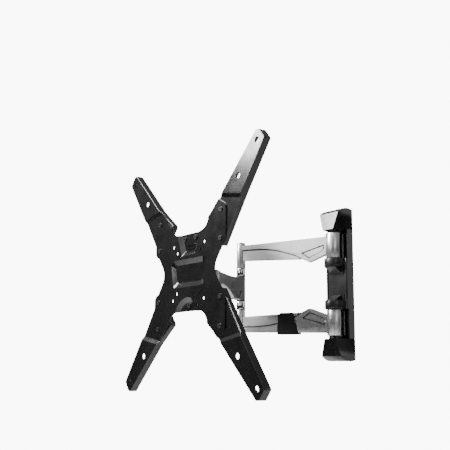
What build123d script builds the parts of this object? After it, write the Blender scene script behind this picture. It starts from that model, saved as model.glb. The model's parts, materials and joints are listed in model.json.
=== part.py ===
"""Full motion wall mount for a flat television.

Two mirrored arms turn together on the wall plate, a single forearm folds between them,
and a head at its end carries the television plate, which swivels, tilts and levels.

Frame, in millimetres: the origin is the centre of the wall plate's back face, the wall is
the plane Y = 0, the mount stands out towards -Y, +X is to the right of someone who faces
the wall, and +Z is up.
"""
from build123d import *
import math
import os

# ---------------------------------------------------------------- driving dimensions
RUN_GAP = 0.3            # between faces of pieces that move past each other
PIN_GAP = 0.05           # radial running clearance of a pin in its bush

# wall plate
WALL_HALF_WIDTH = 28.5
WALL_HALF_HEIGHT = 142.0
WALL_WEB = 4.0           # thickness of the web that lies on the wall
SKIRT = 3.5              # thickness of the side skirts
SKIRT_DEPTH = 15.0       # depth of the skirts beside the barrels
PANEL_DEPTH = 20.0       # depth of the middle panel between the lugs
PIVOT_Y = -22.3          # wall pivot axis
LUG_INNER = 34.0         # the lugs reach from here to LUG_OUTER, above and below
LUG_OUTER = 49.6
LUG_RADIUS = 21.4
EAR_INNER = 102.2        # outer bearings of the wall pivot, under the caps
EAR_OUTER = 112.0
EAR_RADIUS = 14.0
PANEL_CORNER = 2.5
PANEL_RECESS = 1.4       # depth of the shallow recess in the panel's face
LAG_HOLE_Z = 127.0
LAG_HOLE_R = 4.5
LAG_PAD_R = 13.0
LAG_PAD_DEPTH = 8.0

# wall caps
CAP_INNER = 107.5
CAP_SEAM = 0.3           # between a cap's edge and the end of the wall plate's skirts
CAP_EDGE = 141.0
CAP_TOP = 150.5
CAP_WALL = 2.0
CAP_LOW_HALF = 14.5      # half width and depth of the front face at CAP_INNER
CAP_LOW_DEPTH = 41.0
CAP_EDGE_HALF = 26.0     # and at CAP_EDGE
CAP_EDGE_DEPTH = 37.5

# barrels of the two arms on the wall pivot
SLEEVE_R = 14.8
COLLAR_R = 17.6
BUSH_FLANGE = 1.1
WALL_PIN_R = 6.0
BUSH_R = 8.5
COLLAR_HALF_ANGLE = 143.0

# arms
ARM_LENGTH = 218.2       # wall pivot to elbow, and elbow to head
ARM_HALF = 7.0           # half thickness in plan
ARM_STEP = 1.8           # the inner part of each side is lower by this
ARM_GROOVE = 2.4         # a groove along the step is deeper again by this
ARM_GROOVE_WIDTH = 3.0
ARM_WINDOW_GROOVE = 1.8
ARM_ANGLE = -158.46      # direction of the arms in plan, degrees from +X
FOREARM_ANGLE = -50.69   # direction of the forearm in plan
FOREARM_HALF = 8.0

# elbow
ELBOW_R = 9.2
ELBOW_PIN_R = 5.0
ELBOW_BUSH_R = 7.0
HUB_HALF = 24.7          # half height of the forearm's hub
WASHER = 1.2
RING_OUTER = 44.4        # top of the upper ring with its washers
POST_TOP = 96.6

# head
HEAD_TO_TV = 59.0        # head pivot to the plane that touches the television
HEAD_BARREL_R = 12.0
HEAD_BARREL_HALF = 7.0   # half height of the head's barrel, between the fork's lugs
FORK_HALF = 12.2         # half height of the fork at the forearm's end
FORK_ROOM = 1.6          # radial room round the barrel in the fork
HEAD_PIN_R = 5.0
HEAD_BUSH_R = 7.0
TILT_AHEAD = 28.0        # tilt axis, in front of the head pivot
TILT_BARREL_R = 9.0
TILT_BARREL_HALF = 20.0
TILT_BOLT_R = 4.0

# television plate
TV_RISE = 6.0            # its centre is this far above the arms' middle
LEG_PROUD = 1.0          # the legs' faces stand in front of the centre plate by this
PLATE = 2.5              # thickness of the centre plate
LEG_SHEET = 2.0
PRESS_DEPTH = 4.5        # depth of the pressed recesses
PRESS_SLOPE = 9.0        # run of their sloping walls
BRACKET_SHEET = 3.0      # thickness of the tilt bracket
VESA_OUTER = 200.0       # half of each square hole pattern
VESA_MIDDLE = 150.0
VESA_100 = 50.0
VESA_75 = 37.5
LEG_HOLE_R = 5.4
CENTRE_HOLE_R = 3.4
LEG_SCREWS = ((100.0, 100.0), (100.0, 50.0))
LEVEL_TOP = (17.5, 62.0)
LEVEL_BOTTOM = -60.0
LEVEL_PLACES = ((LEVEL_TOP[0], LEVEL_TOP[1]), (-LEVEL_TOP[0], LEVEL_TOP[1]), (0, LEVEL_BOTTOM))
LEVEL_SLOT_ANGLE = 4.0
RIB_HEIGHTS = (50.0, 43.5, 37.0)
RIB_LENGTH = 28.0
# the leg's outline: its screw end, the line of its step, and its tip
LEG_INNER_END = ((54, 92), (103, 36))
LEG_STEP_LINE = ((101.5, 128), (159.5, 117.5))
LEG_TIP = ((220.5, 200), (206.5, 217.5), (196.5, 218), (188.5, 210))
LEG_DEPTH = 13.5         # from the leg's front face to the back edge of its flanges
LEG_STEP_RUN = 7.0
LEG_BEND = 1.6           # outer radius where the sheet turns into a flange
SCREW_R = 2.5            # shanks of the leg and levelling screws

# ---------------------------------------------------------------- derived places
ARM_DIR = (math.cos(math.radians(ARM_ANGLE)), math.sin(math.radians(ARM_ANGLE)))
FORE_DIR = (math.cos(math.radians(FOREARM_ANGLE)), math.sin(math.radians(FOREARM_ANGLE)))
ELBOW = (ARM_LENGTH * ARM_DIR[0], PIVOT_Y + ARM_LENGTH * ARM_DIR[1])
HEAD = (ELBOW[0] + ARM_LENGTH * FORE_DIR[0], ELBOW[1] + ARM_LENGTH * FORE_DIR[1])
PLATE_FRONT = HEAD_TO_TV - LEG_PROUD
PLATE_BACK = PLATE_FRONT - PLATE
FLOOR_FRONT = PLATE_FRONT - PRESS_DEPTH
FLOOR_BACK = PLATE_BACK - PRESS_DEPTH
BRACKET_FRONT = FLOOR_BACK - 0.4
BRACKET_BACK = BRACKET_FRONT - BRACKET_SHEET
BRACKET_GAP = TILT_BARREL_HALF + RUN_GAP + 1.5   # inner faces of the bracket's ears
SLEEVE_INNER = LUG_OUTER + RUN_GAP + BUSH_FLANGE
SLEEVE_OUTER = EAR_INNER - RUN_GAP - BUSH_FLANGE


# ---------------------------------------------------------------- helpers
def disc(x, y, radius, low, high):
    """A vertical cylinder from height low to height high."""
    return Pos(x, y, (low + high) / 2) * Cylinder(radius, high - low)


def tube(x, y, outer, inner, low, high):
    """A vertical tube."""
    return disc(x, y, outer, low, high) - disc(x, y, inner, low - 1, high + 1)


def block(x, y, z):
    """A box given by its low and high limits on each axis."""
    size = [high - low for low, high in (x, y, z)]
    middle = [(low + high) / 2 for low, high in (x, y, z)]
    return Pos(*middle) * Box(*size)


def outline(points, radius=0.0):
    """A closed outline through the points, with its corners rounded."""
    face = make_face(Polyline(*points, close=True))
    if radius:
        face = fillet(face.vertices(), radius)
    return face


def side_slab(face, half):
    """A profile drawn in X and Z, made into a solid from Y = -half to Y = half."""
    return extrude(Plane.XZ * face, amount=half, both=True)


def flipped(solid):
    """The same shape below the arms' middle."""
    return mirror(solid, about=Plane.XY)


def ahead(face, front, back):
    """A face drawn about the television plate's centre, between two distances ahead of the head."""
    plane = Plane(origin=(HEAD[0], HEAD[1] - back, TV_RISE), x_dir=(1, 0, 0), z_dir=(0, -1, 0))
    return extrude(plane * face, amount=front - back)


def ahead_loft(front_face, front, back_face, back):
    """A ruled solid between two outlines at two distances ahead of the head."""
    planes = [Plane(origin=(HEAD[0], HEAD[1] - at, TV_RISE), x_dir=(1, 0, 0), z_dir=(0, -1, 0))
              for at in (front, back)]
    return loft([planes[0] * front_face, planes[1] * back_face], ruled=True)


def ahead_disc(x, z, radius, front, back):
    """A cylinder along Y, about the television plate's centre."""
    return ahead(Pos(x, z) * Circle(radius), front, back)


def hexagon_ahead(x, z, radius, front, back):
    """A hexagonal nut or head along Y."""
    return ahead(Pos(x, z) * RegularPolygon(radius, 6), front, back)


def group(solids):
    """Separate solids kept together in one node."""
    return Compound(children=[Solid(piece.solids()[0].wrapped) for piece in solids])


# ---------------------------------------------------------------- wall plate and caps
def wall_plate():
    """One casting: web, skirts, middle panel, lugs, ears and bolt pads."""
    wide = WALL_HALF_WIDTH
    skirt_end = CAP_INNER - CAP_SEAM
    web = block((-wide, wide), (-WALL_WEB, 0), (-skirt_end, skirt_end))
    narrow = wide - CAP_WALL - 1.6
    web += block((-narrow, narrow), (-WALL_WEB, 0), (-WALL_HALF_HEIGHT, WALL_HALF_HEIGHT))
    body = web
    for side in (-1, 1):
        skirt_x = sorted((side * wide, side * (wide - SKIRT)))
        body += block(skirt_x, (-SKIRT_DEPTH, 0), (-skirt_end, skirt_end))
    panel = Pos(0, -PANEL_DEPTH / 2) * RectangleRounded(2 * wide, PANEL_DEPTH, PANEL_CORNER)
    body += extrude(Plane.XY.offset(-LUG_OUTER) * panel, amount=2 * LUG_OUTER)
    for end in (-1, 1):
        lug = disc(0, PIVOT_Y, LUG_RADIUS, LUG_INNER, LUG_OUTER)
        lug += block((-LUG_RADIUS, LUG_RADIUS), (PIVOT_Y, -2), (LUG_INNER, LUG_OUTER))
        web_line = -PANEL_DEPTH + 2
        wedge = outline([(web_line, LUG_INNER - 13), (web_line, LUG_INNER + 1),
                         (PIVOT_Y - 16, LUG_INNER + 1), (PIVOT_Y - 16, LUG_INNER - 1)])
        wedge = extrude(Plane.YZ * wedge, amount=13, both=True)
        lug += wedge & disc(0, PIVOT_Y, LUG_RADIUS - 1.2, 0, LUG_OUTER)
        ear = disc(0, PIVOT_Y, EAR_RADIUS, EAR_INNER, EAR_OUTER)
        ear += block((-EAR_RADIUS, EAR_RADIUS), (PIVOT_Y, -1), (EAR_INNER, EAR_OUTER))
        pad = Pos(0, -LAG_PAD_DEPTH / 2, LAG_HOLE_Z) * Rot(90, 0, 0) * Cylinder(LAG_PAD_R, LAG_PAD_DEPTH)
        piece = lug + ear + pad
        body += piece if end > 0 else flipped(piece)
    # pockets behind the middle panel, open to the wall, with a cross of ribs between them
    for side in (-1, 1):
        pocket_x = sorted((side * 2.0, side * (wide - SKIRT)))
        for end in (-1, 1):
            pocket_z = sorted((end * 8.0, end * (LUG_INNER - 3)))
            body -= block(pocket_x, (-PANEL_DEPTH + 5, 1), pocket_z)
    # shallow recess in the panel's face
    recess = Plane(origin=(0, -PANEL_DEPTH, 0), x_dir=(1, 0, 0), z_dir=(0, -1, 0))
    recess = recess * RectangleRounded(2 * (wide - 4.5), 2 * (LUG_INNER - 2), 4)
    cut = extrude(recess, amount=-PANEL_RECESS)
    cut -= disc(0, PIVOT_Y, LUG_RADIUS - 1.2, 20, LUG_OUTER)
    cut -= disc(0, PIVOT_Y, LUG_RADIUS - 1.2, -LUG_OUTER, -20)
    body -= cut
    for end in (-1, 1):
        low, high = sorted((end * (LUG_INNER + 2), end * 130))
        body -= disc(0, PIVOT_Y, WALL_PIN_R, low, high)
        lag = Pos(0, 0, end * LAG_HOLE_Z) * Rot(90, 0, 0) * Cylinder(LAG_HOLE_R, 3 * LAG_PAD_DEPTH)
        body -= lag
    return body


def cap_shape(inset):
    """The outer shape of the upper cap, or the same shape drawn in by a wall thickness."""
    wide = WALL_HALF_WIDTH - inset
    low, edge = CAP_INNER + inset, CAP_EDGE - inset
    sections = []
    for height, half, depth in ((low, CAP_LOW_HALF - inset, CAP_LOW_DEPTH - inset),
                                (edge, CAP_EDGE_HALF - inset, CAP_EDGE_DEPTH - inset)):
        face = outline([(-wide, 0), (wide, 0), (half, -depth), (-half, -depth)])
        sections.append(Plane.XY.offset(height) * face)
    body = loft(sections, ruled=True)
    body += extrude(Plane.XY.offset(edge) * face, amount=CAP_TOP - CAP_EDGE)
    # the domed end, drawn in Y and Z: from the wall, over the top, to the front edge
    at_wall, top = (5, CAP_TOP - 5 - inset), (-16, CAP_TOP - inset)
    front, below = (-CAP_EDGE_DEPTH + inset, CAP_EDGE - inset), (-60, CAP_EDGE - 8)
    arch = make_face([Line((5, 60), at_wall),
                      ThreePointArc(at_wall, top, front),
                      Line(front, below),
                      Line(below, (-60, 60)),
                      Line((-60, 60), (5, 60))])
    return body & extrude(Plane.YZ * arch, amount=60, both=True)


def wall_cap():
    """The upper cap: a faceted plastic shell, open to the wall, notched for the ear."""
    shell = cap_shape(0)
    hollow = cap_shape(CAP_WALL)
    shell -= hollow
    shell -= Pos(0, 3, 0) * (hollow & block((-60, 60), (-8, 1), (60, 160)))
    inside = WALL_HALF_WIDTH - CAP_WALL - 0.3
    shell -= block((-inside, inside), (-WALL_WEB - 0.3, 1), (100, EAR_OUTER))
    notch = EAR_RADIUS + 0.5
    shell -= block((-notch, notch), (PIVOT_Y, 1), (100, EAR_OUTER))
    shell -= disc(0, PIVOT_Y, notch, 100, EAR_OUTER)
    return shell


def wall_pin():
    """Upper wall pivot pin: a shouldered bolt whose hexagonal head sits under the cap."""
    pin = disc(0, PIVOT_Y, WALL_PIN_R, LUG_INNER + 3, EAR_OUTER + 2)
    head = Plane.XY.offset(EAR_OUTER + 1.5) * Pos(0, PIVOT_Y) * RegularPolygon(9.5, 6)
    return pin + extrude(head, amount=6)


def wall_pin_washer():
    return tube(0, PIVOT_Y, 10.5, WALL_PIN_R, EAR_OUTER, EAR_OUTER + 1.5)


# ---------------------------------------------------------------- the two arms
def in_arm(solid):
    """From the arm's own frame, X from the wall pivot to the elbow, to its rest place."""
    return Pos(0, PIVOT_Y, 0) * Rot(0, 0, ARM_ANGLE) * solid


def arm_outline():
    """The whole side of the upper arm."""
    return outline([(8, 60), (17, 60.5), (55, 46.5), (71, 54), (ARM_LENGTH - 4, 59.9),
                    (ARM_LENGTH - 4, 92), (22, 95.5), (8, 99)])


def arm_low_side():
    """The part of the side that lies one step lower: below the curved line."""
    return make_face([Spline((ARM_LENGTH, 82.6), (154, 81.0), (128, 76.8), (103, 69.5), (71, 54),
                             tangents=((-1, 0), (-0.8, -0.9))),
                      Line((71, 54), (71, 40)),
                      Line((71, 40), (ARM_LENGTH, 40)),
                      Line((ARM_LENGTH, 40), (ARM_LENGTH, 82.6))])


def arm():
    """The upper arm: a flat casting with an open collar at the wall and a barrel at the elbow."""
    body = side_slab(arm_outline(), ARM_HALF)
    inner_corners = body.edges().filter_by(Axis.Y)
    body = fillet(inner_corners, 1.8)
    low = arm_low_side()
    groove = low - Pos(0, -ARM_GROOVE_WIDTH) * low
    window = outline([(72, 66.2), (21, 80.0), (19.5, 72.5), (24, 66.5), (54, 54)], 1.2)
    rim = window - offset(window, -ARM_WINDOW_GROOVE)
    for side in (-1, 1):
        for shape, depth in ((low, ARM_STEP), (groove, ARM_STEP + ARM_GROOVE), (window, ARM_STEP),
                             (rim, ARM_STEP + ARM_GROOVE)):
            plane = Plane.XZ.offset(-side * (ARM_HALF - depth))
            body -= extrude(plane * shape, amount=-side * 10)
    # collar round the polished sleeve, open on the side away from the arm
    collar = tube(0, 0, COLLAR_R, SLEEVE_R, SLEEVE_INNER, SLEEVE_OUTER)
    open_half = 180 - COLLAR_HALF_ANGLE
    reach = 40.0
    gap = outline([(0, 0), (-reach, reach * math.tan(math.radians(open_half))),
                   (-reach, -reach * math.tan(math.radians(open_half)))])
    collar -= extrude(Plane.XY.offset(SLEEVE_INNER - 1) * gap, amount=SLEEVE_OUTER - SLEEVE_INNER + 2)
    body += collar
    body -= disc(0, 0, SLEEVE_R, SLEEVE_INNER - 1, SLEEVE_OUTER + 1)
    # elbow barrel
    body += disc(ARM_LENGTH, 0, ELBOW_R, RING_OUTER, POST_TOP)
    body -= disc(ARM_LENGTH, 0, ELBOW_PIN_R, 0, POST_TOP + 1)
    return body


def sleeve():
    """Polished sleeve pressed into the arm's collar."""
    return tube(0, PIVOT_Y, SLEEVE_R, BUSH_R, SLEEVE_INNER, SLEEVE_OUTER)


def wall_bush():
    """Flanged plastic bush for the inner end of the upper sleeve."""
    start = SLEEVE_INNER - BUSH_FLANGE
    bore = WALL_PIN_R + PIN_GAP
    flange = tube(0, PIVOT_Y, 13.5, bore, start, SLEEVE_INNER)
    return flange + tube(0, PIVOT_Y, BUSH_R, bore, start, SLEEVE_INNER + 14)


def wall_bushes():
    middle = SLEEVE_INNER + SLEEVE_OUTER
    inner = wall_bush()
    outer = Pos(0, 0, middle) * flipped(wall_bush())
    return group([inner, outer, flipped(inner), flipped(outer)])


def cable_clip():
    """Plastic clip that wraps the lower arm and holds the cables against it."""
    profile = [(80, -97.8), (126.5, -97.8), (124.5, -58.5), (118, -54), (92, -54)]
    outer = side_slab(outline(profile, 1.5), ARM_HALF + 2.2)
    body = outer - flipped(side_slab(arm_outline(), ARM_HALF))
    mouth = block((70, 140), (ARM_HALF - 4, ARM_HALF - 1.5), (-60, -50))
    return in_arm(body - mouth)


# ---------------------------------------------------------------- elbow
def elbow_pin():
    """Steel shaft through both arms and the forearm's hub."""
    return disc(*ELBOW, ELBOW_PIN_R, -POST_TOP, POST_TOP)


def elbow_end_cap():
    cap = disc(*ELBOW, ELBOW_R, POST_TOP, POST_TOP + 2.4)
    return chamfer(cap.edges().group_by(Axis.Z)[-1], 1.2)


def elbow_ring():
    return tube(*ELBOW, ELBOW_R, ELBOW_PIN_R, HUB_HALF + RUN_GAP + WASHER, RING_OUTER - WASHER)


def elbow_washers():
    inner = tube(*ELBOW, ELBOW_R + 0.3, ELBOW_PIN_R, HUB_HALF + RUN_GAP, HUB_HALF + RUN_GAP + WASHER)
    outer = tube(*ELBOW, ELBOW_R + 0.3, ELBOW_PIN_R, RING_OUTER - WASHER, RING_OUTER)
    return group([inner, outer, flipped(inner), flipped(outer)])


def elbow_bushes():
    upper = tube(*ELBOW, ELBOW_BUSH_R, ELBOW_PIN_R + PIN_GAP, HUB_HALF - 16, HUB_HALF)
    return group([upper, flipped(upper)])


# ---------------------------------------------------------------- forearm
def in_forearm(solid):
    """From the forearm's own frame, X from the elbow to the head, to its rest place."""
    return Pos(ELBOW[0], ELBOW[1], 0) * Rot(0, 0, FOREARM_ANGLE) * solid


def forearm():
    """Cast forearm: deep at the elbow, curving up to a slim end at the head."""
    end = ARM_LENGTH
    side = make_face([Line((0, -HUB_HALF), (0, HUB_HALF)),
                      Spline((0, HUB_HALF), (80, 16.8), (160, 13.6), (end, 12.2),
                             tangents=((1, 0), (1, -0.02))),
                      Line((end, 12.2), (end, -7)),
                      Spline((end, -7), (188, -7.5), (147, -11.0), (118, -17.5), (92, -26.5),
                             tangents=((-1, 0), (-1, -0.55))),
                      Line((92, -26.5), (0, -HUB_HALF))])
    body = side_slab(side, FOREARM_HALF)
    window = outline([(28, -6), (98, -14), (84, -21.5), (36, -20)], 1.5)
    for face_side in (-1, 1):
        body -= extrude(Plane.XZ.offset(-face_side * (FOREARM_HALF - 2.0)) * window, amount=-face_side * 10)
    body = body - disc(0, 0, 20, -40, 40) + (body & disc(0, 0, 20, -HUB_HALF, HUB_HALF))
    body += disc(0, 0, ELBOW_R, -HUB_HALF, HUB_HALF)
    # fork for the head: two lugs, the lower one carried by a web under the blade
    slot = HEAD_BARREL_HALF + RUN_GAP
    web = outline([(188, -7), (200, -FORK_HALF), (end, -FORK_HALF), (end, -6), (188, -6)])
    body += side_slab(web, FOREARM_HALF)
    body += disc(end, 0, HEAD_BARREL_R, -FORK_HALF, FORK_HALF)
    body -= disc(end, 0, HEAD_BARREL_R + FORK_ROOM, -slot, slot)
    body -= disc(end, 0, HEAD_BARREL_R, FORK_HALF, 40)
    body -= disc(0, 0, ELBOW_BUSH_R, -40, 40)
    body -= disc(end, 0, HEAD_PIN_R, -40, 40)
    return in_forearm(body)


# ---------------------------------------------------------------- head
def head_knuckle():
    """Cast knuckle: a barrel in the forearm's fork and a cross barrel for the tilt bolt."""
    x, y = HEAD
    half = HEAD_BARREL_HALF
    body = disc(x, y, HEAD_BARREL_R, -half, half)
    body += block((x - 10, x + 10), (y - TILT_AHEAD, y), (-half, half))
    body += across(TILT_BARREL_R, -TILT_BARREL_HALF, TILT_BARREL_HALF)
    body -= disc(x, y, HEAD_BUSH_R, -40, 40)
    return body - across(TILT_BOLT_R + PIN_GAP, -50, 50)


def head_bushes():
    upper = tube(*HEAD, HEAD_BUSH_R, HEAD_PIN_R + PIN_GAP, 0.5, HEAD_BARREL_HALF)
    return group([upper, flipped(upper)])


def head_pin():
    """Head pivot bolt, with a low head on top of the fork."""
    return disc(*HEAD, HEAD_PIN_R, -FORK_HALF - 7, FORK_HALF) + disc(*HEAD, 8.5, FORK_HALF, FORK_HALF + 2.2)


def head_nut():
    nut = Plane.XY.offset(-FORK_HALF - 5.7) * Pos(*HEAD) * RegularPolygon(8.0, 6)
    return extrude(nut, amount=4.2) - disc(*HEAD, HEAD_PIN_R, -60, 0)


def head_washer():
    return tube(*HEAD, 9.5, HEAD_PIN_R, -FORK_HALF - 1.5, -FORK_HALF)


# ---------------------------------------------------------------- tilt
def across(radius, low, high):
    """A cylinder on the tilt axis, from low to high in X about the head."""
    place = Pos(HEAD[0] + (low + high) / 2, HEAD[1] - TILT_AHEAD, 0)
    return place * Rot(0, 90, 0) * Cylinder(radius, high - low)


def tilt_bracket():
    """Steel bracket: an upright plate with two ears that hold the tilt bolt."""
    half = 34.0
    low, high = -70.0, 72.0
    sheet = Pos(0, (low + high) / 2) * RectangleRounded(2 * half, high - low, 8)
    body = ahead(sheet, BRACKET_FRONT, BRACKET_BACK)
    for side in (-1, 1):
        ear = Pos(HEAD[1] - TILT_AHEAD, 0) * Circle(12)
        ear += outline([(HEAD[1] - TILT_AHEAD, -12), (HEAD[1] - TILT_AHEAD, 12),
                        (HEAD[1] - BRACKET_FRONT + 1, 30), (HEAD[1] - BRACKET_FRONT + 1, -24)])
        sheet = extrude(Plane.YZ.offset(HEAD[0] + side * BRACKET_GAP) * ear, amount=side * BRACKET_SHEET)
        body += sheet
    body -= across(TILT_BOLT_R, -60, 60)
    # arc slots for the levelling screws, and the bore for the levelling stud
    for x, z in LEVEL_PLACES:
        for step in range(-4, 5):
            turn = math.radians(LEVEL_SLOT_ANGLE * step / 4)
            at_x = x * math.cos(turn) - z * math.sin(turn)
            at_z = x * math.sin(turn) + z * math.cos(turn)
            body -= ahead_disc(at_x, at_z, 3.2, BRACKET_FRONT + 1, BRACKET_BACK - 1)
    body -= ahead_disc(0, 0, 6 + PIN_GAP, BRACKET_FRONT + 1, BRACKET_BACK - 1)
    return body


def tilt_bolt():
    """Bolt along the tilt axis, fixed in the bracket's ears."""
    end = BRACKET_GAP + BRACKET_SHEET
    head = Plane.YZ.offset(HEAD[0] + end) * Pos(HEAD[1] - TILT_AHEAD, 0) * RegularPolygon(7.5, 6)
    return across(TILT_BOLT_R, -end - 14, end) + extrude(head, amount=5)


def tilt_washers():
    """Friction washers between the knuckle's cross barrel and the ears."""
    low = TILT_BARREL_HALF + RUN_GAP
    right = across(9.0, low, BRACKET_GAP) - across(TILT_BOLT_R, 0, 60)
    left = across(9.0, -BRACKET_GAP, -low) - across(TILT_BOLT_R, -60, 0)
    return group([right, left])


def tilt_knob():
    """Lobed plastic hand knob on the tilt bolt."""
    start = -BRACKET_GAP - BRACKET_SHEET
    reach = 9.4
    body = across(reach, start - 10, start)
    for lobe in range(6):
        turn = math.radians(60 * lobe)
        place = Pos(0, reach * math.cos(turn), reach * math.sin(turn))
        body += place * across(3.2, start - 10, start - 2)
    body += across(7.0, start - 15.5, start - 10)
    return body - across(TILT_BOLT_R, start - 14, start + 1)


# ---------------------------------------------------------------- television plate
def four_ways(edges):
    """The edges of one quarter, repeated in all four quarters."""
    right = list(edges) + [mirror(edge, about=Plane.XZ) for edge in edges]
    return right + [mirror(edge, about=Plane.YZ) for edge in right]


def centre_outline():
    """X-shaped outline with a waist at each side and a flat notch above and below."""
    quarter = [Line((0, 70), (36, 71)),
               Spline((36, 71), (55, 79), (66, 95), tangents=((1, 0.05), (0.6, 0.7))),
               Line((66, 95), (92, 119.5)),
               Line((92, 119.5), (106, 111.5)),
               ThreePointArc((106, 111.5), (111.8, 107), (114, 100)),
               Line((114, 100), (114, 47)),
               ThreePointArc((114, 47), (111, 39.5), (103.5, 35.5)),
               Spline((103.5, 35.5), (90, 19), (82, 0), tangents=((-0.8, -0.75), (0, -1)))]
    return make_face(four_ways(quarter))


def recess_outline(inset):
    """The trapezoid recess in the middle."""
    top, bottom, high, low = 58 - inset, 50 - inset, 25 - inset, -27 + inset
    return outline([(-top, high), (top, high), (bottom, low), (-bottom, low)], 10 - inset / 3)


def channel_outline(inset):
    """The recess that opens into the upper notch and narrows downwards."""
    wide, narrow, low = 46 - inset, 22 - inset, 30 + inset
    return outline([(-wide, 90), (wide, 90), (narrow, low), (-narrow, low)], 1.5)


def arch_outline(inset):
    """The arched recess that opens into the lower notch."""
    half, top = 46 - inset, -45 - inset
    return make_face([ThreePointArc((-half, -90), (0, top), (half, -90)), Line((half, -90), (-half, -90))])


def centre_plate():
    """Pressed steel plate with three recesses, ribs and the small hole patterns."""
    whole = centre_outline()
    body = ahead(whole, PLATE_FRONT, PLATE_BACK)
    limit = ahead(whole, PLATE_FRONT, FLOOR_BACK - 1)
    for shape in (recess_outline, channel_outline, arch_outline):
        body += ahead_loft(shape(0), PLATE_BACK, shape(PRESS_SLOPE), FLOOR_BACK) & limit
    for shape in (recess_outline, channel_outline, arch_outline):
        body -= ahead_loft(shape(0.5), PLATE_FRONT + 0.01, shape(PRESS_SLOPE + 0.5), FLOOR_FRONT)
    for z in RIB_HEIGHTS:
        rib = Pos(0, z) * SlotOverall(RIB_LENGTH, 3.2)
        body += ahead(rib, FLOOR_FRONT + 1.6, FLOOR_FRONT - 1)
    front, back = PLATE_FRONT + 2, FLOOR_BACK - 2
    for x_side in (-1, 1):
        for z_side in (-1, 1):
            for half in (VESA_75, VESA_100):
                body -= ahead_disc(x_side * half, z_side * half, CENTRE_HOLE_R, front, back)
            for x, z in LEG_SCREWS:
                body -= ahead_disc(x_side * x, z_side * z, SCREW_R, front, back)
    for x, z in LEVEL_PLACES:
        body -= ahead_disc(x, z, SCREW_R, front, back)
    return body


def level_stud():
    """Stud on the back of the middle recess, with a collar that keeps the bracket on it."""
    stud = ahead_disc(0, 0, 6.0, FLOOR_BACK, BRACKET_BACK - 5)
    return stud + ahead_disc(0, 0, 9.5, BRACKET_BACK - RUN_GAP, BRACKET_BACK - 5)


def level_screws():
    """Pan head screws whose shanks slide in the bracket's arc slots."""
    screws = []
    for x, z in LEVEL_PLACES:
        screw = ahead_disc(x, z, 4.4, FLOOR_FRONT + 2.4, FLOOR_FRONT)
        screw += ahead_disc(x, z, SCREW_R, FLOOR_FRONT, BRACKET_BACK - 5)
        socket = Pos(x, z) * RegularPolygon(1.9, 6)
        screws.append(screw - ahead(socket, FLOOR_FRONT + 3, FLOOR_FRONT + 0.8))
    return group(screws)


def level_nuts():
    nuts = []
    for x, z in LEVEL_PLACES:
        nut = hexagon_ahead(x, z, 4.9, BRACKET_BACK - RUN_GAP, BRACKET_BACK - 4.3)
        nuts.append(nut - ahead_disc(x, z, SCREW_R, BRACKET_BACK + 1, BRACKET_BACK - 6))
    return group(nuts)


def leg_screws():
    """Screws that hold the legs to the centre plate."""
    screws = []
    for x_side in (-1, 1):
        for z_side in (-1, 1):
            for x, z in LEG_SCREWS:
                at = (x_side * x, z_side * z)
                screw = ahead_disc(*at, 4.2, PLATE_FRONT + 1.8, PLATE_FRONT)
                screw += ahead_disc(*at, SCREW_R, PLATE_FRONT, PLATE_BACK - 8)
                socket = Pos(*at) * RegularPolygon(1.7, 6)
                screws.append(screw - ahead(socket, PLATE_FRONT + 3, PLATE_FRONT + 0.6))
    return group(screws)


def leg_nuts():
    nuts = []
    for x_side in (-1, 1):
        for z_side in (-1, 1):
            for x, z in LEG_SCREWS:
                at = (x_side * x, z_side * z)
                back = PLATE_BACK - LEG_SHEET
                nut = hexagon_ahead(*at, 4.7, back, back - 4)
                nuts.append(nut - ahead_disc(*at, SCREW_R, back + 1, back - 6))
    return group(nuts)


def leg_outline(inset):
    points = [LEG_INNER_END[0], LEG_INNER_END[1], LEG_STEP_LINE[1], *LEG_TIP, LEG_STEP_LINE[0]]
    face = outline(points)
    tip = [v for v in face.vertices() if v.X > 180]
    face = fillet(tip, 3.5)
    near = [v for v in face.vertices() if v.X < 103 and v.Y < 100]
    face = fillet(near, 5)
    return offset(face, -inset) if inset else face


def leg_block(drop):
    """The stepped solid, drop behind the leg's front faces, that the outline is cut from."""
    (x0, z0), (x1, z1) = LEG_STEP_LINE
    turn = math.degrees(math.atan2(z1 - z0, x1 - x0))
    outer, inner = HEAD_TO_TV - drop, PLATE_BACK - drop
    back = 0 if drop else HEAD_TO_TV - LEG_DEPTH
    near, far = -120, 140
    profile = outline([(near, inner), (-LEG_STEP_RUN, inner), (0, outer),
                       (far, outer), (far, back), (near, back)])
    # drawn with X away from the centre and Y ahead of the head, then swept along the step line
    along = (math.cos(math.radians(turn)), 0, math.sin(math.radians(turn)))
    away = (-math.sin(math.radians(turn)), 0, math.cos(math.radians(turn)))
    plane = Plane(origin=(HEAD[0] + x0, HEAD[1], TV_RISE + z0), x_dir=away, z_dir=along)
    if plane.y_dir.Y > 0:
        profile = mirror(profile, about=Plane.XZ)
    return extrude(plane * profile, amount=200, both=True)


def inside_step(edge):
    """Whether an edge runs across the leg, where its face steps."""
    run = edge.position_at(1) - edge.position_at(0)
    (x0, z0), (x1, z1) = LEG_STEP_LINE
    across_step = Vector(x1 - x0, 0, z1 - z0)
    return run.cross(across_step).length < 0.02 * run.length * across_step.length


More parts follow.
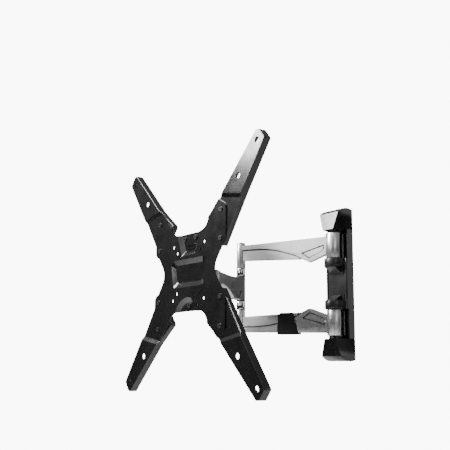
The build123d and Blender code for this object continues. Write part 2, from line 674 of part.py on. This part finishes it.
def leg():
    """The upper right leg: a pressed tray, stepped so that its foot lies behind the centre plate."""
    body = leg_block(0) & ahead(leg_outline(0), HEAD_TO_TV + 1, 0)
    back_line = HEAD[1] - HEAD_TO_TV + LEG_DEPTH
    fronts = [edge for edge in body.edges() if edge.bounding_box().max.Y < back_line - 1]
    body = fillet([edge for edge in fronts if not inside_step(edge)], LEG_BEND)
    body -= leg_block(LEG_SHEET) & ahead(leg_outline(LEG_SHEET), HEAD_TO_TV + 1, -10)
    for half in (VESA_MIDDLE, VESA_OUTER):
        body -= ahead_disc(half, half, LEG_HOLE_R, HEAD_TO_TV + 1, 40)
    for x, z in LEG_SCREWS:
        body -= ahead_disc(x, z, SCREW_R, HEAD_TO_TV + 1, 30)
    return body


def legs():
    """All four legs, by name, mirrored about the television plate's centre."""
    across_plane = Plane(origin=(HEAD[0], 0, 0), x_dir=(0, 1, 0), z_dir=(1, 0, 0))
    level_plane = Plane(origin=(0, 0, TV_RISE), x_dir=(1, 0, 0), z_dir=(0, 0, 1))
    upper_right = leg()
    upper_left = mirror(upper_right, about=across_plane)
    return {
        "leg_upper_right": upper_right,
        "leg_upper_left": upper_left,
        "leg_lower_right": mirror(upper_right, about=level_plane),
        "leg_lower_left": mirror(upper_left, about=level_plane),
    }


# ---------------------------------------------------------------- all the nodes
def build():
    """Every node by name."""
    cap = wall_cap()
    pin = wall_pin()
    washer = wall_pin_washer()
    upper_arm = in_arm(arm())
    barrel_sleeve = sleeve()
    end_cap = elbow_end_cap()
    ring = elbow_ring()
    nodes = {
        "wall_plate": wall_plate(),
        "wall_cap_upper": cap,
        "wall_cap_lower": flipped(cap),
        "wall_pin_upper": pin,
        "wall_pin_lower": flipped(pin),
        "wall_pin_washers": group([washer, flipped(washer)]),
        "upper_arm": upper_arm,
        "lower_arm": flipped(upper_arm),
        "sleeve_upper": barrel_sleeve,
        "sleeve_lower": flipped(barrel_sleeve),
        "wall_bushes": wall_bushes(),
        "cable_clip": cable_clip(),
        "elbow_pin": elbow_pin(),
        "elbow_end_cap_upper": end_cap,
        "elbow_end_cap_lower": flipped(end_cap),
        "elbow_ring_upper": ring,
        "elbow_ring_lower": flipped(ring),
        "elbow_washers": elbow_washers(),
        "forearm": forearm(),
        "elbow_bushes": elbow_bushes(),
        "head_knuckle": head_knuckle(),
        "head_bushes": head_bushes(),
        "head_pin": head_pin(),
        "head_nut": head_nut(),
        "head_washer": head_washer(),
        "tilt_bracket": tilt_bracket(),
        "tilt_bolt": tilt_bolt(),
        "tilt_washers": tilt_washers(),
        "tilt_knob": tilt_knob(),
        "centre_plate": centre_plate(),
        "leg_screws": leg_screws(),
        "leg_nuts": leg_nuts(),
        "level_stud": level_stud(),
        "level_screws": level_screws(),
        "level_nuts": level_nuts(),
    }
    nodes.update(legs())
    return nodes


if __name__ == "__main__":
    os.makedirs("parts", exist_ok=True)
    for name, solid in build().items():
        export_step(solid, f"parts/{name}.step")
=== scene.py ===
"""Looks for the full motion television wall mount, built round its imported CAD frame.

Every Blender object is in metres in the row's frame: the wall is the plane Y = 0, the mount
stands out towards -Y, +X is to the right of someone who faces the wall, and +Z is up.
"""
import json
import math

import bpy
from mathutils import Matrix, Vector

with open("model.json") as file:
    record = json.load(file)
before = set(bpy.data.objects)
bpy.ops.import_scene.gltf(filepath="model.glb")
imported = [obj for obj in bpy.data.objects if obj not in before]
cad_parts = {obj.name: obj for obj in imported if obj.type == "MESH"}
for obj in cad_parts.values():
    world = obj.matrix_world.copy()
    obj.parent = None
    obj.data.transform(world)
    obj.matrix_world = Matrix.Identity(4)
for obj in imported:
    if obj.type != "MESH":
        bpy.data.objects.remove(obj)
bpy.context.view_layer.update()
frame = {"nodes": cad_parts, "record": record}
nodes = frame["nodes"]

# ---------------------------------------------------------------- camera
CAMERA_PLACE = Vector((1.0376, -1.0517, -0.1521))
CAMERA_AZIMUTH = math.radians(53.87)     # to the right of the straight view of the wall
CAMERA_PITCH = math.radians(10.55)       # it looks up by this
CAMERA_ROLL = math.radians(0.46)
CAMERA_LENS = 58.52                      # on a sensor 36 mm wide

# ---------------------------------------------------------------- edges, and painted shade in grooves
WELD = 0.000005                          # vertices closer than this are one
EDGE_WIDTH = 0.0005
EDGE_WIDTHS = {"centre_plate": 0.0008, "cable_clip": 0.0009, "wall_plate": 0.0010,
               "wall_cap_upper": 0.0010, "wall_cap_lower": 0.0010}
EDGE_ANGLE = math.radians(32)            # only corners sharper than this are softened
# painted shade: the metal's colour is darkened in grooves and corners by ambient occlusion
PAINTED_SHADE_REACH = 0.004                     # metal darkens where another face is as near as this
PAINTED_SHADE_LEVEL = 0.12                      # and keeps at least this much of its colour

# ---------------------------------------------------------------- studio
FLOOR_Z = -0.75
FLOOR_RADIUS = 2.4
FLOOR_CORNERS = 96
BACKGROUND = 12.0                        # strength of the white that the camera sees
# what lights the object: grey levels from straight below (0) to straight above (1)
SKY = ((0.0, 0.03), (0.456, 0.03), (0.517, 0.07), (0.57, 0.11), (0.71, 0.30), (1.0, 0.30))
BOXES_AIM = (0.0, -0.2, 0.1)
# each soft box: degrees to the left of straight ahead of the wall, degrees above level,
# distance, width and height in metres, and brightness
SOFT_BOXES = {
    "leg_box": (42, 26.5, 3.0, (0.9, 0.95), 54.0),      # fades down the upper right leg
    "arm_box": (14, 20, 3.0, (1.5, 1.2), 1.0),          # wide and dim, for the satin arms
    "press_box": (5, 6.5, 3.0, (0.36, 0.6), 9.0),       # on the walls of the pressed recesses
    "bend_box": (-4, 60, 2.2, (0.8, 0.3), 90.0),        # thin lines along the legs' bends
    "front_box": (-54, 12, 3.0, (0.5, 1.0), 3.5),       # over the camera, for the barrels
    "back_box": (-140, 8, 2.6, (1.3, 1.6), 1.2),        # on the sides that face right
}


def make_camera():
    """Sets the camera from its place, its two turns and its small roll."""
    data = bpy.data.cameras.new("camera")
    data.lens = CAMERA_LENS
    data.sensor_width = 36.0
    data.clip_start = 0.05
    data.clip_end = 60.0
    camera = bpy.data.objects.new("camera", data)
    bpy.context.scene.collection.objects.link(camera)
    level = Vector((-math.sin(CAMERA_AZIMUTH), math.cos(CAMERA_AZIMUTH), 0))
    side = Vector((math.cos(CAMERA_AZIMUTH), math.sin(CAMERA_AZIMUTH), 0))
    up = Vector((0, 0, 1))
    ahead = level * math.cos(CAMERA_PITCH) + up * math.sin(CAMERA_PITCH)
    top = up * math.cos(CAMERA_PITCH) - level * math.sin(CAMERA_PITCH)
    right = side * math.cos(CAMERA_ROLL) + top * math.sin(CAMERA_ROLL)
    top = top * math.cos(CAMERA_ROLL) - side * math.sin(CAMERA_ROLL)
    turn = Matrix((right, top, -ahead)).transposed()
    camera.matrix_world = Matrix.Translation(CAMERA_PLACE) @ turn.to_4x4()
    bpy.context.scene.camera = camera


# ---------------------------------------------------------------- materials
def shader(name):
    """A new material with its node tree and its Principled shader."""
    material = bpy.data.materials.new(name)
    material.use_nodes = True
    tree = material.node_tree
    return material, tree, tree.nodes["Principled BSDF"]


def noise(tree, scale, detail, stretch=(1, 1, 1)):
    """Noise on the object's own coordinates, scale in features per metre."""
    where = tree.nodes.new("ShaderNodeTexCoord")
    mapping = tree.nodes.new("ShaderNodeMapping")
    mapping.inputs["Scale"].default_value = stretch
    texture = tree.nodes.new("ShaderNodeTexNoise")
    texture.inputs["Scale"].default_value = scale
    texture.inputs["Detail"].default_value = detail
    texture.inputs["Roughness"].default_value = 0.55
    tree.links.new(where.outputs["Object"], mapping.inputs["Vector"])
    tree.links.new(mapping.outputs["Vector"], texture.inputs["Vector"])
    return texture.outputs["Fac"]


def spread(tree, value, low, high, start=0.3, end=0.7):
    """Maps a texture's middle range onto low to high."""
    node = tree.nodes.new("ShaderNodeMapRange")
    node.inputs["From Min"].default_value = start
    node.inputs["From Max"].default_value = end
    node.inputs["To Min"].default_value = low
    node.inputs["To Max"].default_value = high
    tree.links.new(value, node.inputs["Value"])
    return node.outputs["Result"]


def blend_colour(tree, value, first, second):
    """Goes from the first colour to the second over a texture's middle range."""
    ramp = tree.nodes.new("ShaderNodeValToRGB")
    ramp.color_ramp.elements[0].color = (*first, 1)
    ramp.color_ramp.elements[1].color = (*second, 1)
    ramp.color_ramp.elements[0].position = 0.35
    ramp.color_ramp.elements[1].position = 0.65
    tree.links.new(value, ramp.inputs["Fac"])
    return ramp.outputs["Color"]


def bump(tree, bsdf, layers):
    """Stacks bump layers of (height value, height in metres, strength)."""
    last = None
    for value, height, strength in layers:
        node = tree.nodes.new("ShaderNodeBump")
        node.inputs["Distance"].default_value = height
        node.inputs["Strength"].default_value = strength
        tree.links.new(value, node.inputs["Height"])
        if last:
            tree.links.new(last, node.inputs["Normal"])
        last = node.outputs["Normal"]
    tree.links.new(last, bsdf.inputs["Normal"])


def greys(low, high, blue=0.0):
    """Two greys, with the blue channel higher by a little where the metal is cool."""
    return (low, low, low + blue), (high, high, high + blue)


def powder_coat(name, colours, rough):
    """Semi-gloss black powder coat: a fine orange peel over faint unevenness."""
    material, tree, bsdf = shader(name)
    peel = noise(tree, 900, 2.0)
    cloud = noise(tree, 35, 4.0)
    tree.links.new(blend_colour(tree, cloud, *colours), bsdf.inputs["Base Color"])
    tree.links.new(spread(tree, noise(tree, 40, 1.0), *rough), bsdf.inputs["Roughness"])
    bump(tree, bsdf, [(peel, 0.00001, 0.1), (cloud, 0.0002, 0.05)])
    return material


def painted_groove_shade(tree, colour):
    """Paints shade into a colour: darkens it in grooves and corners, where less light reaches."""
    # painted shade: ambient occlusion multiplies the colour darker where another face is near
    shade = tree.nodes.new("ShaderNodeAmbientOcclusion")
    shade.samples = 8
    shade.inputs["Distance"].default_value = PAINTED_SHADE_REACH
    mix = tree.nodes.new("ShaderNodeMix")
    mix.data_type = "RGBA"
    mix.blend_type = "MULTIPLY"
    mix.inputs["Factor"].default_value = 1.0
    tree.links.new(colour, mix.inputs["A"])
    level = spread(tree, shade.outputs["AO"], PAINTED_SHADE_LEVEL, 1.0, 0.45, 0.9)
    tree.links.new(level, mix.inputs["B"])
    return mix.outputs["Result"]


def satin_metal(name, colours, rough, grain=1400, stretch=(1, 1, 1)):
    """Bead blasted, turned or polished metal, with a fine grain and painted shade in its grooves."""
    material, tree, bsdf = shader(name)
    bsdf.inputs["Metallic"].default_value = 1.0
    fine = noise(tree, grain, 2.0, stretch)
    cloud = noise(tree, 40, 4.0)
    # painted shade: the colour is darkened in grooves and corners by ambient occlusion
    colour = painted_groove_shade(tree, blend_colour(tree, cloud, *colours))
    tree.links.new(colour, bsdf.inputs["Base Color"])
    tree.links.new(spread(tree, fine, *rough), bsdf.inputs["Roughness"])
    bump(tree, bsdf, [(fine, 0.00003, 0.4), (cloud, 0.0002, 0.08)])
    return material


def plastic(name, colours, rough, gloss=0.5):
    """Moulded plastic with a fine spark texture."""
    material, tree, bsdf = shader(name)
    fine = noise(tree, 1600, 3.0)
    cloud = noise(tree, 50, 3.0)
    tree.links.new(blend_colour(tree, cloud, *colours), bsdf.inputs["Base Color"])
    tree.links.new(spread(tree, cloud, *rough), bsdf.inputs["Roughness"])
    bump(tree, bsdf, [(fine, 0.00003, 0.4)])
    bsdf.inputs["Specular IOR Level"].default_value = gloss
    return material


def make_materials():
    """One material for each slot in the record."""
    return {
        "steel_black": powder_coat("steel_black", greys(0.004, 0.007), (0.15, 0.21)),
        "cast_black": powder_coat("cast_black", greys(0.007, 0.010), (0.26, 0.34)),
        "screw_black": powder_coat("screw_black", greys(0.02, 0.03), (0.22, 0.32)),
        "cap_black": plastic("cap_black", greys(0.005, 0.007), (0.12, 0.17)),
        "plastic_black": plastic("plastic_black", greys(0.003, 0.004), (0.50, 0.60), gloss=0.1),
        "bush_white": plastic("bush_white", ((0.62, 0.61, 0.57), (0.68, 0.67, 0.63)), (0.40, 0.50)),
        "arm_silver": satin_metal("arm_silver", greys(0.62, 0.68, 0.01), (0.26, 0.36)),
        "forearm_grey": satin_metal("forearm_grey", greys(0.42, 0.48, 0.01), (0.34, 0.42)),
        "post_silver": satin_metal("post_silver", greys(0.66, 0.72, 0.01), (0.16, 0.24),
                                   grain=2200, stretch=(1, 1, 6)),
        "chrome": satin_metal("chrome", greys(0.82, 0.86, 0.01), (0.05, 0.09),
                              grain=2200, stretch=(1, 1, 8)),
        "steel_zinc": satin_metal("steel_zinc", greys(0.56, 0.64, 0.01), (0.22, 0.34), grain=1800),
    }


def dress_nodes(materials):
    """Gives each CAD node its material and softens its edges."""
    for part in frame["record"]["subparts"]:
        thing = nodes[part["node"]]
        thing.data.materials.clear()
        thing.data.materials.append(materials[part["material_slot"]])
        weld = thing.modifiers.new("weld", "WELD")
        weld.merge_threshold = WELD
        edge = thing.modifiers.new("edge", "BEVEL")
        edge.width = EDGE_WIDTHS.get(part["node"], EDGE_WIDTH)
        edge.segments = 2
        edge.limit_method = "ANGLE"
        edge.angle_limit = EDGE_ANGLE
        edge.harden_normals = True


# ---------------------------------------------------------------- lights, floor and background
def soft_box(name, turn, lift, distance, size, level):
    """A rectangular light that faces the mount; SOFT_BOXES says what the values mean."""
    turn, lift = math.radians(turn), math.radians(lift)
    aim = Vector((-math.sin(turn) * math.cos(lift), -math.cos(turn) * math.cos(lift), math.sin(lift)))
    data = bpy.data.lights.new(name, "AREA")
    data.shape = "RECTANGLE"
    data.size, data.size_y = size
    data.energy = level * math.pi * size[0] * size[1]
    light = bpy.data.objects.new(name, data)
    bpy.context.scene.collection.objects.link(light)
    light.location = Vector(BOXES_AIM) + aim * distance
    light.rotation_mode = "QUATERNION"
    light.rotation_quaternion = aim.to_track_quat("Z", "Y")


def make_floor():
    """A round pale floor, well below the mount."""
    turns = [math.tau * step / FLOOR_CORNERS for step in range(FLOOR_CORNERS)]
    ring = [(FLOOR_RADIUS * math.cos(turn), FLOOR_RADIUS * math.sin(turn), 0) for turn in turns]
    mesh = bpy.data.meshes.new("floor")
    mesh.from_pydata(ring, [], [tuple(range(FLOOR_CORNERS))])
    floor = bpy.data.objects.new("floor", mesh)
    floor.location.z = FLOOR_Z
    bpy.context.scene.collection.objects.link(floor)
    material, tree, bsdf = shader("floor")
    tone = noise(tree, 3, 2.0)
    tree.links.new(blend_colour(tree, tone, *greys(0.86, 0.88)), bsdf.inputs["Base Color"])
    bsdf.inputs["Roughness"].default_value = 0.7
    mesh.materials.append(material)


def make_world():
    """White behind the object for the camera; for what it lights, dim low down and brighter above."""
    world = bpy.data.worlds.new("studio")
    bpy.context.scene.world = world
    world.use_nodes = True
    tree = world.node_tree
    tree.nodes.clear()
    out = tree.nodes.new("ShaderNodeOutputWorld")
    seen = tree.nodes.new("ShaderNodeBackground")
    seen.inputs["Strength"].default_value = BACKGROUND
    lit = tree.nodes.new("ShaderNodeBackground")
    lit.inputs["Strength"].default_value = 1.0
    where = tree.nodes.new("ShaderNodeTexCoord")
    split = tree.nodes.new("ShaderNodeSeparateXYZ")
    height = tree.nodes.new("ShaderNodeMapRange")
    height.inputs["From Min"].default_value = -1.0
    height.inputs["From Max"].default_value = 1.0
    ramp = tree.nodes.new("ShaderNodeValToRGB")
    while len(ramp.color_ramp.elements) < len(SKY):
        ramp.color_ramp.elements.new(0.5)
    for element, (place, level) in zip(ramp.color_ramp.elements, SKY):
        element.position = place
        element.color = (level, level, level, 1)
    path = tree.nodes.new("ShaderNodeLightPath")
    mix = tree.nodes.new("ShaderNodeMixShader")
    tree.links.new(where.outputs["Generated"], split.inputs["Vector"])
    tree.links.new(split.outputs["Z"], height.inputs["Value"])
    tree.links.new(height.outputs["Result"], ramp.inputs["Fac"])
    tree.links.new(ramp.outputs["Color"], lit.inputs["Color"])
    tree.links.new(path.outputs["Is Camera Ray"], mix.inputs["Fac"])
    tree.links.new(lit.outputs["Background"], mix.inputs[1])
    tree.links.new(seen.outputs["Background"], mix.inputs[2])
    tree.links.new(mix.outputs["Shader"], out.inputs["Surface"])


def make_studio():
    make_world()
    make_floor()
    for name, values in SOFT_BOXES.items():
        soft_box(name, *values)


# ---------------------------------------------------------------- the scene
make_camera()
dress_nodes(make_materials())
make_studio()
